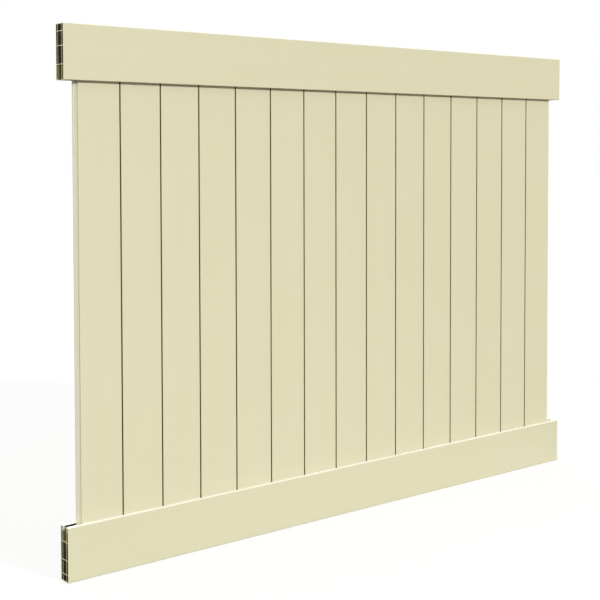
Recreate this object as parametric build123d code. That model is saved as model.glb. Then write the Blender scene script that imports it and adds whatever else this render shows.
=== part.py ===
from build123d import *

import os

# Vinyl privacy fence panel: two deep pocketed rails of one multi-chamber extrusion, and a row of
# hollow tongue-and-groove boards that stand in the pockets. Millimetres, +Z up, front towards -Y.
# The origin is under the middle of the bottom rail, half way through its thickness.

# Whole panel
panel_height = 1778.0
board_count = 15
overhang_left = 56.5  # rail end to the first board's face
overhang_right = 52.9  # last board's face to the rail end

# Rail extrusion
rail_height = 177.8
rail_thickness = 50.8
rail_wall = 2.2
rail_web = 1.8
rail_corner_radius = 2.0
low_web_height = 24.0  # cross webs, measured from the closed edge to the middle of the web
high_web_height = 70.0
pocket_depth = 48.8
pocket_clearance = 0.4  # each side of a board

# Board extrusion
board_pitch = 152.4
board_gap = 3.4  # shadow gap between the faces of two boards
board_thickness = 22.2
board_wall = 1.3
board_web = 1.1
board_chambers = 5
board_edge_chamfer = 0.8
tongue_length = 14.5
tongue_thickness = 12.0
tongue_tip_chamfer = 3.5
tongue_side_clearance = 0.3
tongue_end_clearance = 0.8

# Sizes that follow
board_face = board_pitch - board_gap
boards_run = board_count * board_pitch - board_gap
rail_length = overhang_left + boards_run + overhang_right
first_board_x = overhang_left - rail_length / 2
pocket_floor = rail_height - pocket_depth
pocket_width = board_thickness + 2 * pocket_clearance
board_length = panel_height - 2 * pocket_floor
groove_depth = tongue_length - board_gap + tongue_end_clearance
groove_width = tongue_thickness + 2 * tongue_side_clearance


def bar(left, right, low, high):
    """A rectangle given by its four edges."""
    middle = Pos((left + right) / 2, (low + high) / 2)
    return middle * Rectangle(right - left, high - low)


def centred_bar(left, right, width):
    """A rectangle from left to right, centred across its width."""
    return bar(left, right, -width / 2, width / 2)


def rail_profile():
    """Section of a rail, closed edge at the bottom and pocket at the top, centred on Y."""
    half_inside = rail_thickness / 2 - rail_wall
    wall_middle = (pocket_width + rail_web) / 2
    outline = RectangleRounded(rail_thickness, rail_height, rail_corner_radius)
    outline = Pos(0, rail_height / 2) * outline
    pocket = bar(-pocket_width / 2, pocket_width / 2, pocket_floor, rail_height)

    # What stays standing inside: the pocket's own walls, the cross webs and the two long walls
    inside = bar(-half_inside, half_inside, rail_wall, rail_height - rail_wall)
    inside -= bar(-pocket_width / 2 - rail_web, pocket_width / 2 + rail_web, pocket_floor, rail_height)
    for web_middle in (low_web_height, high_web_height, pocket_floor - rail_web / 2):
        inside -= bar(-half_inside, half_inside, web_middle - rail_web / 2, web_middle + rail_web / 2)
    for side in (-1, 1):
        middle = side * wall_middle
        inside -= bar(middle - rail_web / 2, middle + rail_web / 2, rail_wall, pocket_floor)
    return outline - pocket - inside


def board_profile():
    """Section of a board: shoulder at X 0, tongue to the left, groove at the right edge."""
    body = Pos(board_face / 2, 0) * Rectangle(board_face, board_thickness)
    body = chamfer(body.vertices(), board_edge_chamfer)
    tongue = centred_bar(-tongue_length, 0, tongue_thickness)
    tongue = chamfer(tongue.vertices().group_by(Axis.X)[0], tongue_tip_chamfer)
    groove_floor = board_face - groove_depth
    groove = centred_bar(groove_floor, board_face, groove_width)

    # One chamber in the tongue, and a row of chambers in the body that wraps round the groove
    tongue_inside = centred_bar(board_wall - tongue_length, 0, tongue_thickness - 2 * board_wall)
    inner_chamfer = tongue_tip_chamfer - board_wall / 2
    tongue_inside = chamfer(tongue_inside.vertices().group_by(Axis.X)[0], inner_chamfer)
    inside = centred_bar(board_wall, board_face - board_wall, board_thickness - 2 * board_wall)
    inside -= centred_bar(groove_floor - board_wall, board_face, groove_width + 2 * board_wall)
    chamber_pitch = groove_floor / board_chambers
    for number in range(1, board_chambers):
        web_middle = number * chamber_pitch
        inside -= centred_bar(web_middle - board_web / 2, web_middle + board_web / 2, board_thickness)
    return body + tongue - groove - tongue_inside - inside


# The bottom rail lies on its closed edge, and the top rail is the same length turned over
rail_section = Plane.YZ * rail_profile()
bottom_rail = Pos(-rail_length / 2, 0, 0) * extrude(rail_section, rail_length, dir=(1, 0, 0))
top_rail = mirror(bottom_rail, about=Plane.XY.offset(panel_height / 2))

# The boards stand on the bottom rail's pocket floor, and the top rail's pocket sits on them
board = Pos(first_board_x, 0, pocket_floor) * extrude(board_profile(), board_length)

os.makedirs("parts", exist_ok=True)
export_step(bottom_rail, "parts/bottom_rail.step")
export_step(top_rail, "parts/top_rail.step")
for number in range(board_count):
    placed_board = Pos(number * board_pitch, 0, 0) * board
    export_step(placed_board, f"parts/board_{number + 1:02d}.step")
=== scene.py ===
import math

import bmesh
import bpy
from mathutils import Matrix, Vector


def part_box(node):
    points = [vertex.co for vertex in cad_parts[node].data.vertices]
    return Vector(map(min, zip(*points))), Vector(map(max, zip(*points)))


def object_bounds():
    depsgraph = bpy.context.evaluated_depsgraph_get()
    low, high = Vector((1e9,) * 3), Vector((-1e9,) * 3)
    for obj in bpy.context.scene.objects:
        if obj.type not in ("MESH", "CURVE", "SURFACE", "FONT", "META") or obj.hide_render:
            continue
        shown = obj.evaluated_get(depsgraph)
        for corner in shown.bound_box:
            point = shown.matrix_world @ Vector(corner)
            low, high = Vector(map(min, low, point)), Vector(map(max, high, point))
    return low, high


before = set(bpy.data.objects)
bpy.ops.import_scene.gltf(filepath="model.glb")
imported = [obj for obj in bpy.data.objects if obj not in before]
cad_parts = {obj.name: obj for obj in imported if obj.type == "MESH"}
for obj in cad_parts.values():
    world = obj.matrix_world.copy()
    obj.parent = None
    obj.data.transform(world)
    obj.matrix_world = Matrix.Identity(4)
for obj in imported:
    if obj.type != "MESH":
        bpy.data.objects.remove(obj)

cadLow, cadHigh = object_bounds()
cadMiddle = (cadLow + cadHigh) / 2
print("frame loaded:", len(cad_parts), "pieces, size", [round(s, 4) for s in cadHigh - cadLow])


# small helpers for node trees

nodeRows = {  # new nodes are laid out in rows, in the order they are made
    "across": 220,
    "down": 320,
    "perRow": 8,
}

mixSockets = {  # where a Mix node keeps its two inputs and its result
    "FLOAT": (2, 3, 0),
    "RGBA": (6, 7, 2),
}


def addNode(tree, kind, **settings):
    row, column = divmod(len(tree.nodes), nodeRows["perRow"])
    node = tree.nodes.new(kind)
    node.location = (column * nodeRows["across"], -row * nodeRows["down"])
    for name, value in settings.items():
        setattr(node, name, value)
    return node


def feed(tree, socket, value):
    if isinstance(value, bpy.types.NodeSocket):
        tree.links.new(value, socket)
    elif socket.type == "RGBA":
        socket.default_value = (*value, 1)
    else:
        socket.default_value = value


def mathNode(tree, operation, *values, clamp=False):
    node = addNode(tree, "ShaderNodeMath", operation=operation, use_clamp=clamp)
    for socket, value in zip(node.inputs, values):
        feed(tree, socket, value)
    return node.outputs[0]


def vectorNode(tree, operation, *values):
    node = addNode(tree, "ShaderNodeVectorMath", operation=operation)
    for socket, value in zip(node.inputs, values):
        feed(tree, socket, value)
    return node.outputs["Value" if operation == "DOT_PRODUCT" else "Vector"]


def splitNode(tree, vector):
    node = addNode(tree, "ShaderNodeSeparateXYZ")
    feed(tree, node.inputs[0], vector)
    return node.outputs


def rangeNode(tree, value, fromRange, toRange=(0.0, 1.0), smooth=False):
    kind = "SMOOTHSTEP" if smooth else "LINEAR"
    node = addNode(tree, "ShaderNodeMapRange", interpolation_type=kind)
    feed(tree, node.inputs["Value"], value)
    labels = ("From Min", "From Max", "To Min", "To Max")
    for label, limit in zip(labels, (*fromRange, *toRange)):
        feed(tree, node.inputs[label], limit)
    return node.outputs["Result"]


def mixNode(tree, kind, factor, first, second):
    node = addNode(tree, "ShaderNodeMix", data_type=kind)
    firstAt, secondAt, resultAt = mixSockets[kind]
    feed(tree, node.inputs["Factor"], factor)
    feed(tree, node.inputs[firstAt], first)
    feed(tree, node.inputs[secondAt], second)
    return node.outputs[resultAt]


def noiseNode(tree, vector, scale, detail):
    node = addNode(tree, "ShaderNodeTexNoise")
    feed(tree, node.inputs["Vector"], vector)
    feed(tree, node.inputs["Scale"], scale)
    feed(tree, node.inputs["Detail"], detail)
    return node.outputs[0]


def newGroup(name, inputs, outputs):
    tree = bpy.data.node_groups.new(name, "ShaderNodeTree")
    for label, kind in inputs.items():
        tree.interface.new_socket(label, in_out="INPUT", socket_type=kind)
    for label in outputs:
        tree.interface.new_socket(label, in_out="OUTPUT", socket_type="NodeSocketFloat")
    given = addNode(tree, "NodeGroupInput").outputs
    results = addNode(tree, "NodeGroupOutput").inputs
    return tree, given, results


def newMaterial(name):
    material = bpy.data.materials.new(name)
    material.use_nodes = True
    return material, material.node_tree


# die lines left by the extruder: fine scratches, wider bands and a soft cloudiness

dieLines = {
    "bandScale": 1.0,
    "bandDetail": 3.0,
    "lineScale": 14.0,  # how much finer than the bands
    "lineDetail": 1.0,
    "cloudScale": 2.6,  # per metre
    "cloudDetail": 2.0,
}


def makeDieLines():
    tree, given, results = newGroup(
        "dieLines",
        {"Position": "NodeSocketVector", "Stretch": "NodeSocketVector"},
        ["Lines", "Bands", "Cloud"],
    )
    stretched = vectorNode(tree, "MULTIPLY", given["Position"], given["Stretch"])
    bands = noiseNode(tree, stretched, dieLines["bandScale"], dieLines["bandDetail"])
    lines = noiseNode(tree, stretched, dieLines["lineScale"], dieLines["lineDetail"])
    cloud = noiseNode(tree, given["Position"], dieLines["cloudScale"], dieLines["cloudDetail"])
    feed(tree, results["Lines"], lines)
    feed(tree, results["Bands"], bands)
    feed(tree, results["Cloud"], cloud)
    return tree


# sawn faces across the extrusion, with the blade's marks

sawCut = {
    "facing": (0.85, 0.95),  # how squarely a sawn face looks along the extrusion
    "markScale": 420.0,  # per metre
    "markWander": 1.6,
}


def makeSawCut():
    tree, given, results = newGroup(
        "sawCut",
        {"Position": "NodeSocketVector", "Normal": "NodeSocketVector", "Axis": "NodeSocketVector"},
        ["Mask", "Marks"],
    )
    along = vectorNode(tree, "DOT_PRODUCT", given["Normal"], given["Axis"])
    steep = mathNode(tree, "ABSOLUTE", along)
    marks = addNode(tree, "ShaderNodeTexWave", wave_type="BANDS", bands_direction="DIAGONAL")
    feed(tree, marks.inputs["Vector"], given["Position"])
    feed(tree, marks.inputs["Scale"], sawCut["markScale"])
    feed(tree, marks.inputs["Distortion"], sawCut["markWander"])
    feed(tree, results["Mask"], rangeNode(tree, steep, sawCut["facing"]))
    feed(tree, results["Marks"], marks.outputs["Fac"])
    return tree


# how far a point lies below the outer skin, folded about the panel's middle so that both rails and
# both faces share it

def makeBelowSkin():
    tree, given, results = newGroup(
        "belowSkin",
        {
            "Position": "NodeSocketVector",
            "Middle": "NodeSocketVector",
            "Half Thickness": "NodeSocketFloat",
            "Outer Edge": "NodeSocketFloat",
            "Inner Edge": "NodeSocketFloat",
            "Skin": "NodeSocketFloat",
            "Fade": "NodeSocketFloat",
        },
        ["Mask"],
    )
    centred = vectorNode(tree, "SUBTRACT", given["Position"], given["Middle"])
    folded = splitNode(tree, vectorNode(tree, "ABSOLUTE", centred))
    fromFace = mathNode(tree, "SUBTRACT", given["Half Thickness"], folded["Y"])
    fromOuter = mathNode(tree, "SUBTRACT", given["Outer Edge"], folded["Z"])
    fromInner = mathNode(tree, "SUBTRACT", folded["Z"], given["Inner Edge"])
    fromEdges = mathNode(tree, "MINIMUM", fromOuter, fromInner)
    depth = mathNode(tree, "MINIMUM", fromFace, fromEdges)
    full = mathNode(tree, "ADD", given["Skin"], given["Fade"])
    feed(tree, results["Mask"], rangeNode(tree, depth, (given["Skin"], full)))
    return tree


groups = {"dieLines": makeDieLines(), "sawCut": makeSawCut(), "belowSkin": makeBelowSkin()}
print("finish groups made:", ", ".join(groups))


def placeGroup(tree, name, values):
    node = addNode(tree, "ShaderNodeGroup", node_tree=groups[name])
    for label, value in values.items():
        feed(tree, node.inputs[label], value)
    return node.outputs


# sand vinyl: the part of the finish that rails and boards share

vinylFinish = {
    "colour": (0.698, 0.660, 0.444),
    "shade": (0.689, 0.650, 0.432),  # the darker end of the bands
    "bandRange": (0.7, 1.3),  # bands and cloudiness added up, from colour to shade
    "sawn": (0.73, 0.70, 0.46),
    "lineRange": (0.3, 0.7),  # die lines, from smooth to dull
    "dullRoughness": 0.80,  # sawn, or where shade is painted
    "lineHeight": 0.000008,  # metres
    "markHeight": 0.00006,
}


def maskBelow(tree, where, finish, start, fade):
    outputs = placeGroup(tree, "belowSkin", {
        "Position": where["Object"],
        "Middle": cadMiddle,
        "Half Thickness": finish["halfThickness"],
        "Outer Edge": finish["outerEdge"],
        "Inner Edge": finish["innerEdge"],
        "Skin": start,
        "Fade": fade,
    })
    return outputs["Mask"]


def startVinyl(tree, where, finish):
    lines = placeGroup(tree, "dieLines", {"Position": where["Object"], "Stretch": finish["stretch"]})
    cut = placeGroup(tree, "sawCut", {
        "Position": where["Object"],
        "Normal": where["Normal"],
        "Axis": finish["cutAxis"],
    })
    patches = mathNode(tree, "ADD", lines["Bands"], lines["Cloud"])
    banding = rangeNode(tree, patches, vinylFinish["bandRange"], smooth=True)
    skin = mixNode(tree, "RGBA", banding, vinylFinish["colour"], vinylFinish["shade"])
    return lines, cut, skin


def finishVinyl(tree, finish, lines, cut, shadeMask, colour):
    shader = tree.nodes["Principled BSDF"]
    sawn = mixNode(tree, "RGBA", cut["Mask"], colour, vinylFinish["sawn"])
    feed(tree, shader.inputs["Base Color"], sawn)

    # satin with slightly duller lines, dull on sawn faces and where shade is painted
    satin = rangeNode(tree, lines["Lines"], vinylFinish["lineRange"], finish["roughness"])
    dull = mathNode(tree, "MAXIMUM", cut["Mask"], shadeMask)
    rough = mixNode(tree, "FLOAT", dull, satin, vinylFinish["dullRoughness"])
    feed(tree, shader.inputs["Roughness"], rough)

    # die lines along the skin, saw marks across the ends
    lineHeight = mathNode(tree, "MULTIPLY", lines["Lines"], vinylFinish["lineHeight"])
    markHeight = mathNode(tree, "MULTIPLY", cut["Marks"], vinylFinish["markHeight"])
    bump = addNode(tree, "ShaderNodeBump")
    bump.inputs["Strength"].default_value = 1.0
    bump.inputs["Distance"].default_value = 1.0
    feed(tree, bump.inputs["Height"], mixNode(tree, "FLOAT", cut["Mask"], lineHeight, markHeight))
    feed(tree, shader.inputs["Normal"], bump.outputs["Normal"])


# rails: chalk and painted highlight along the open ledges, and painted shade in the chambers and
# pockets behind the sawn ends

railLow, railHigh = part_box("bottom_rail")

railFinish = {
    "stretch": (0.12, 30.0, 30.0),  # lines run along the rail
    "cutAxis": (1, 0, 0),
    "roughness": (0.40, 0.50),
    "halfThickness": railHigh.y,
    "outerEdge": cadMiddle.z - railLow.z,  # edges as heights above or below the panel's middle
    "innerEdge": cadMiddle.z - railHigh.z,
    "shadeBelow": (0.0009, 0.0005),  # starts this far below the skin, and comes in over this much
    "pocketDepth": 0.0488,
    # chalk with a painted highlight, whitening the up-facing ledges
    "chalkHighlight": (0.850, 0.845, 0.800),
    "chalkHighlightFacing": (0.5, 0.95),  # how far a face must look up to get chalk and painted highlight
    "chalkHighlightCloud": (0.35, 0.65),  # cloudiness, from thin chalk and highlight to full
    "chalkHighlightPatches": (0.8, 1.0),  # share of chalk and painted highlight there
    "mouthShade": (0.047, 0.046, 0.005),  # painted shade in the chambers, just behind a sawn end
    "sunnyPocket": (0.70, 0.68, 0.46),  # lit part of the boards' pocket, just behind a sawn end
    # painted shade in the pocket further down and in the top rail
    "shadyPocket": (0.23, 0.23, 0.055),
    "sunReach": (0.014, 0.020),  # how far down the bottom rail's pocket stays lit, before the painted shade
    # painted shade deep in the chambers and pockets
    "inside": (0.016, 0.015, 0.003),
    "mouthDepth": (0.002, 0.012),  # from the mouth's colour to the inside's
}


def makeRailVinyl():
    material, tree = newMaterial("railVinyl")
    where = addNode(tree, "ShaderNodeTexCoord").outputs
    lines, cut, skin = startVinyl(tree, where, railFinish)
    place = splitNode(tree, where["Object"])
    lift = mathNode(tree, "SUBTRACT", place["Z"], cadMiddle.z)
    fromMiddle = mathNode(tree, "ABSOLUTE", lift)
    topRail = mathNode(tree, "GREATER_THAN", lift, 0.0)

    # chalk and painted highlight on the bottom rail's up-facing ledges
    facing = splitNode(tree, where["Normal"])
    upward = rangeNode(tree, facing["Z"], railFinish["chalkHighlightFacing"])
    patches = rangeNode(tree, lines["Cloud"], railFinish["chalkHighlightCloud"], railFinish["chalkHighlightPatches"])
    chalkHighlightMask = mathNode(tree, "MULTIPLY", upward, patches)
    ledgeChalkHighlight = mathNode(tree, "SUBTRACT", chalkHighlightMask, topRail, clamp=True)
    outside = mixNode(tree, "RGBA", ledgeChalkHighlight, skin, railFinish["chalkHighlight"])

    # pocket for the boards: lit colour where the sun gets in, painted shade further down and in the top
    # rail
    sunReach = [railFinish["innerEdge"] + depth for depth in railFinish["sunReach"]]
    shady = mathNode(tree, "MAXIMUM", rangeNode(tree, fromMiddle, sunReach), topRail)
    pocketLightAndShade = mixNode(tree, "RGBA", shady, railFinish["sunnyPocket"], railFinish["shadyPocket"])

    # painted shade: pocket and chambers go dark behind the sawn ends
    pocketFloor = railFinish["innerEdge"] + railFinish["pocketDepth"]
    chambers = mathNode(tree, "GREATER_THAN", fromMiddle, pocketFloor)
    mouthShade = mixNode(tree, "RGBA", chambers, pocketLightAndShade, railFinish["mouthShade"])
    along = mathNode(tree, "ABSOLUTE", place["X"])
    fromEnd = mathNode(tree, "SUBTRACT", railHigh.x, along)
    deep = rangeNode(tree, fromEnd, railFinish["mouthDepth"])
    inside = mixNode(tree, "RGBA", deep, mouthShade, railFinish["inside"])

    # painted shade lies below the skin, but not in the right-hand half of the pockets, which the key
    # light reaches
    below = maskBelow(tree, where, railFinish, *railFinish["shadeBelow"])
    rightHalf = mathNode(tree, "GREATER_THAN", place["X"], 0.0)
    pocketOnly = mathNode(tree, "SUBTRACT", 1.0, chambers)
    litPocket = mathNode(tree, "MULTIPLY", rightHalf, pocketOnly)
    shadeMask = mathNode(tree, "SUBTRACT", below, litPocket, clamp=True)
    colour = mixNode(tree, "RGBA", shadeMask, outside, inside)
    finishVinyl(tree, railFinish, lines, cut, shadeMask, colour)
    return material


# boards: painted shade in the seams and just onto the edges beside them, painted shade on the tongues
# and grooves, and painted shade above the bottom rail

firstLow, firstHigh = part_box("board_01")
secondLow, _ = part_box("board_02")

boardFinish = {
    "stretch": (30.0, 30.0, 0.12),  # lines run up the board
    "cutAxis": (0, 0, 1),
    "roughness": (0.42, 0.52),
    "halfThickness": firstHigh.y,
    "outerEdge": 10.0,  # far off, so that only the faces count
    "innerEdge": -10.0,
    "lockShade": (0.615, 0.588, 0.432),  # painted shade on the tongue and groove, set back from the faces
    "lockBelow": (0.0015, 0.0010),  # as the rails' shadeBelow
    "ledgeShade": (0.606, 0.573, 0.397),  # painted shade on the boards just above the bottom rail's ledge
    "ledgeShadeHeight": 0.027,
    # painted shade in the gaps between boards and just onto the faces beside them
    "seamShade": (0.105, 0.084, 0.002),
    "seamShadeBelow": (-0.00025, 0.0004),  # starts just in front of the faces, so they get some of it
    "seamShadeFade": (0.0024, 0.0034),  # full to this far from the gap's middle, gone at this far
    "gapFromTip": 0.0128,  # tongue's tip to the middle of the gap
    "cornerShade": 0.06,  # share of it by the first tongue, where no board meets it
}


def makeBoardVinyl():
    material, tree = newMaterial("boardVinyl")
    where = addNode(tree, "ShaderNodeTexCoord").outputs
    lines, cut, skin = startVinyl(tree, where, boardFinish)
    place = splitNode(tree, where["Object"])

    # painted shade on the tongue and groove, then on the foot of the board
    lock = maskBelow(tree, where, boardFinish, *boardFinish["lockBelow"])
    lockShaded = mixNode(tree, "RGBA", lock, skin, boardFinish["lockShade"])
    aboveLedge = mathNode(tree, "SUBTRACT", place["Z"], railHigh.z)
    foot = rangeNode(tree, aboveLedge, (0.0, boardFinish["ledgeShadeHeight"]), (1.0, 0.0), smooth=True)
    ledgeShaded = mixNode(tree, "RGBA", foot, lockShaded, boardFinish["ledgeShade"])

    # distance from the nearest gap
    pitch = secondLow.x - firstLow.x
    firstGap = firstLow.x + boardFinish["gapFromTip"]
    shifted = mathNode(tree, "SUBTRACT", place["X"], firstGap)
    wrapped = mathNode(tree, "WRAP", shifted, pitch / 2, -pitch / 2)
    away = mathNode(tree, "ABSOLUTE", wrapped)

    # painted shade beside the gaps: all of it where two boards meet, a little by the first tongue
    near = rangeNode(tree, away, boardFinish["seamShadeFade"], (1.0, 0.0), smooth=True)
    below = maskBelow(tree, where, boardFinish, *boardFinish["seamShadeBelow"])
    fromCentre = mathNode(tree, "ABSOLUTE", place["X"])
    joined = mathNode(tree, "LESS_THAN", fromCentre, -firstGap - pitch / 2)
    firstTongue = mathNode(tree, "LESS_THAN", place["X"], firstGap + pitch / 2)
    corner = mathNode(tree, "MULTIPLY", firstTongue, boardFinish["cornerShade"])
    share = mathNode(tree, "ADD", joined, corner)
    shadeMask = mathNode(tree, "MULTIPLY", mathNode(tree, "MULTIPLY", near, below), share)
    colour = mixNode(tree, "RGBA", shadeMask, ledgeShaded, boardFinish["seamShade"])
    finishVinyl(tree, boardFinish, lines, cut, shadeMask, colour)
    return material


railVinyl = makeRailVinyl()
boardVinyl = makeBoardVinyl()

for name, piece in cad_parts.items():
    material = railVinyl if name.endswith("rail") else boardVinyl
    for slot in piece.material_slots:
        slot.material = material
print("vinyl given to", len(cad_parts), "pieces")


# floor and sky: white to the camera and in reflections, with values of their own for lighting the panel

floorPlan = {
    "radius": 60.0,
    "segments": 96,
    "colour": (0.26, 0.26, 0.255),
    "bounce": (0.09, 0.09, 0.087),  # what it throws back at the panel
    "lift": 0.69,  # brings the lit floor up to white for the camera
}


def seenByCamera(tree):
    path = addNode(tree, "ShaderNodeLightPath").outputs
    seen = mathNode(tree, "MAXIMUM", path["Is Camera Ray"], path["Is Glossy Ray"])
    return mathNode(tree, "MAXIMUM", seen, path["Is Transmission Ray"])


def makeFloor():
    shape = bmesh.new()
    bmesh.ops.create_circle(
        shape, cap_ends=True, segments=floorPlan["segments"], radius=floorPlan["radius"]
    )
    mesh = bpy.data.meshes.new("studioFloor")
    shape.to_mesh(mesh)
    shape.free()
    floor = bpy.data.objects.new("studioFloor", mesh)
    bpy.context.scene.collection.objects.link(floor)
    material, tree = newMaterial("studioFloor")
    mesh.materials.append(material)

    # matt paint, with a glow that only the camera and reflections see
    tree.nodes.remove(tree.nodes["Principled BSDF"])
    seen = seenByCamera(tree)
    matt = addNode(tree, "ShaderNodeBsdfDiffuse")
    shown = mixNode(tree, "RGBA", seen, floorPlan["bounce"], floorPlan["colour"])
    feed(tree, matt.inputs["Color"], shown)
    glow = addNode(tree, "ShaderNodeEmission")
    feed(tree, glow.inputs["Strength"], mathNode(tree, "MULTIPLY", seen, floorPlan["lift"]))
    both = addNode(tree, "ShaderNodeAddShader")
    feed(tree, both.inputs[0], matt.outputs[0])
    feed(tree, both.inputs[1], glow.outputs[0])
    feed(tree, tree.nodes["Material Output"].inputs["Surface"], both.outputs[0])


skyLight = {
    "overhead": 1.45,
    "horizon": 0.10,
    "rise": (0.45, 1.0),  # where it brightens, as the height of the direction
    "shown": 1.0,  # white for the camera
}


def makeSky():
    world = bpy.data.worlds.new("studioSky")
    bpy.context.scene.world = world
    world.use_nodes = True
    tree = world.node_tree
    backdrop = tree.nodes["Background"]
    backdrop.inputs["Color"].default_value = (1, 1, 1, 1)
    direction = splitNode(tree, addNode(tree, "ShaderNodeTexCoord").outputs["Generated"])
    brightness = (skyLight["horizon"], skyLight["overhead"])
    dome = rangeNode(tree, direction["Z"], skyLight["rise"], brightness, smooth=True)
    strength = mixNode(tree, "FLOAT", seenByCamera(tree), dome, skyLight["shown"])
    feed(tree, backdrop.inputs["Strength"], strength)


# lamps far off, each in one direction from the panel, in degrees to the right and up

keyLight = {
    "strength": 1.98,
    "spread": 6.0,  # degrees across
    "height": 27.0,
    "side": 16.0,
}

secondLight = {
    "strength": 1.52,
    "spread": 7.0,
    "height": 17.0,
    "side": -62.0,
}

backLight = {
    "strength": 2.0,
    "spread": 30.0,
    "height": 12.0,
    "side": 157.0,
}

endLight = {
    "strength": 0.75,
    "spread": 20.0,
    "height": 18.0,
    "side": -98.0,
}


def towardsLamp(side, height):
    across, up = math.radians(side), math.radians(height)
    return Vector((math.cos(up) * math.sin(across), -math.cos(up) * math.cos(across), math.sin(up)))


def makeSun(name, plan):
    lamp = bpy.data.lights.new(name, "SUN")
    lamp.energy = plan["strength"]
    lamp.angle = math.radians(plan["spread"])
    sun = bpy.data.objects.new(name, lamp)
    towards = towardsLamp(plan["side"], plan["height"])
    sun.rotation_euler = towards.to_track_quat("Z", "Y").to_euler()
    bpy.context.scene.collection.objects.link(sun)


# cards that only show as a sheen on the satin faces: one lies in front of the panel, one stands far off

nearCard = {
    "power": 21.0,
    "size": (2.8, 2.4),
    "place": (-0.1, -1.228, 0.002),
    "aim": (-0.1, -1.228, 2.0),
}

farCard = {
    "power": 34.0,
    "size": (2.6, 1.2),
    "place": (1.8, -5.2, 0.3),
    "aim": (-0.9, 0.0, 0.5),
}


def makeSheenCard(name, plan):
    lamp = bpy.data.lights.new(name, "AREA")
    lamp.shape = "RECTANGLE"
    lamp.size, lamp.size_y = plan["size"]
    lamp.energy = plan["power"]
    card = bpy.data.objects.new(name, lamp)
    place, aim = Vector(plan["place"]), Vector(plan["aim"])
    card.location = place
    card.rotation_euler = (place - aim).to_track_quat("Z", "Y").to_euler()
    card.visible_camera = False
    card.visible_diffuse = False
    bpy.context.scene.collection.objects.link(card)


makeFloor()
makeSky()
makeSun("keyLight", keyLight)
makeSun("secondLight", secondLight)
makeSun("backLight", backLight)
makeSun("endLight", endLight)
makeSheenCard("nearCard", nearCard)
makeSheenCard("farCard", farCard)
print("floor, sky and lamps set")


# camera, in metres and degrees, looking at the panel from its left

cameraView = {
    "place": (-2.8529, -3.3371, 1.3662),
    "turn": 38.093,  # to the right of straight ahead
    "level": 90.0,  # up from straight down, where a camera starts
    "tilt": -2.192,  # up from level
    "roll": -0.123,
    "lens": 69.337,
    "sensor": 36.0,
    "shiftUp": -0.170,
}


def makeCamera():
    data = bpy.data.cameras.new("photoView")
    data.sensor_width = cameraView["sensor"]
    data.lens = cameraView["lens"]
    data.shift_y = cameraView["shiftUp"]
    camera = bpy.data.objects.new("photoView", data)
    turned = Matrix.Rotation(-math.radians(cameraView["turn"]), 4, "Z")
    tilted = Matrix.Rotation(math.radians(cameraView["level"] + cameraView["tilt"]), 4, "X")
    rolled = Matrix.Rotation(math.radians(cameraView["roll"]), 4, "Z")
    camera.matrix_world = Matrix.Translation(cameraView["place"]) @ turned @ tilted @ rolled
    bpy.context.scene.collection.objects.link(camera)
    bpy.context.scene.camera = camera


makeCamera()
bpy.context.scene.view_settings.view_transform = "Standard"
print("camera set")
